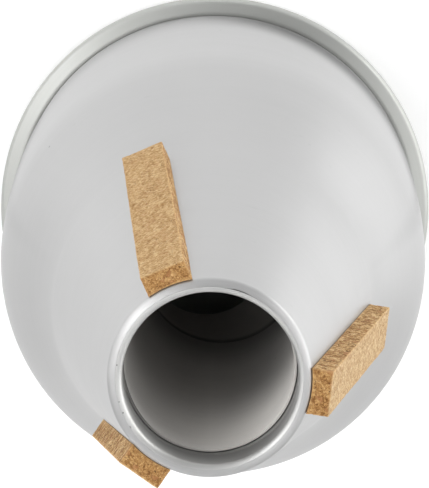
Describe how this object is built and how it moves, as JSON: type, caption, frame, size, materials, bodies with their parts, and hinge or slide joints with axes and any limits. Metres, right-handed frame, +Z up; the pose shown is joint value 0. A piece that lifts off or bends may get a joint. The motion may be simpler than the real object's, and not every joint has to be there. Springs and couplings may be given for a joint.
{
  "type": "french horn straight mute",
  "caption": "Straight mute for a French horn: conical metal shell that widens to a round closed end, with a lined mouth, an inner resonator tube and cork strips.",
  "frame": {"origin": "on the floor under the centre of the wide closed end, on the axis of the shell", "axes": "+Z up along the axis from the wide closed end to the open mouth; +X and +Y lie in the plane of the wide end, cork_strip_left is on the -X side"},
  "size_m": [0.1134, 0.1134, 0.1909],
  "materials": {
    "spun_aluminium": "fine satin, spun, with faint scratches",
    "collar_aluminium": "satin, slightly polished edge",
    "tube_aluminium": "plain drawn and spun metal with faint lines round it",
    "cap_aluminium": "satin, spun",
    "agglomerate_cork": "bare ground cork, cut edges"
  },
  "bodies": {
    "root": {"body_shell": "spun_aluminium", "mouth_collar": "collar_aluminium", "resonator_tube": "tube_aluminium", "tube_reducer": "tube_aluminium", "end_cap": "cap_aluminium", "cork_strip_front": "agglomerate_cork", "cork_strip_left": "agglomerate_cork", "cork_strip_rear": "agglomerate_cork"}
  },
  "joints": []
}
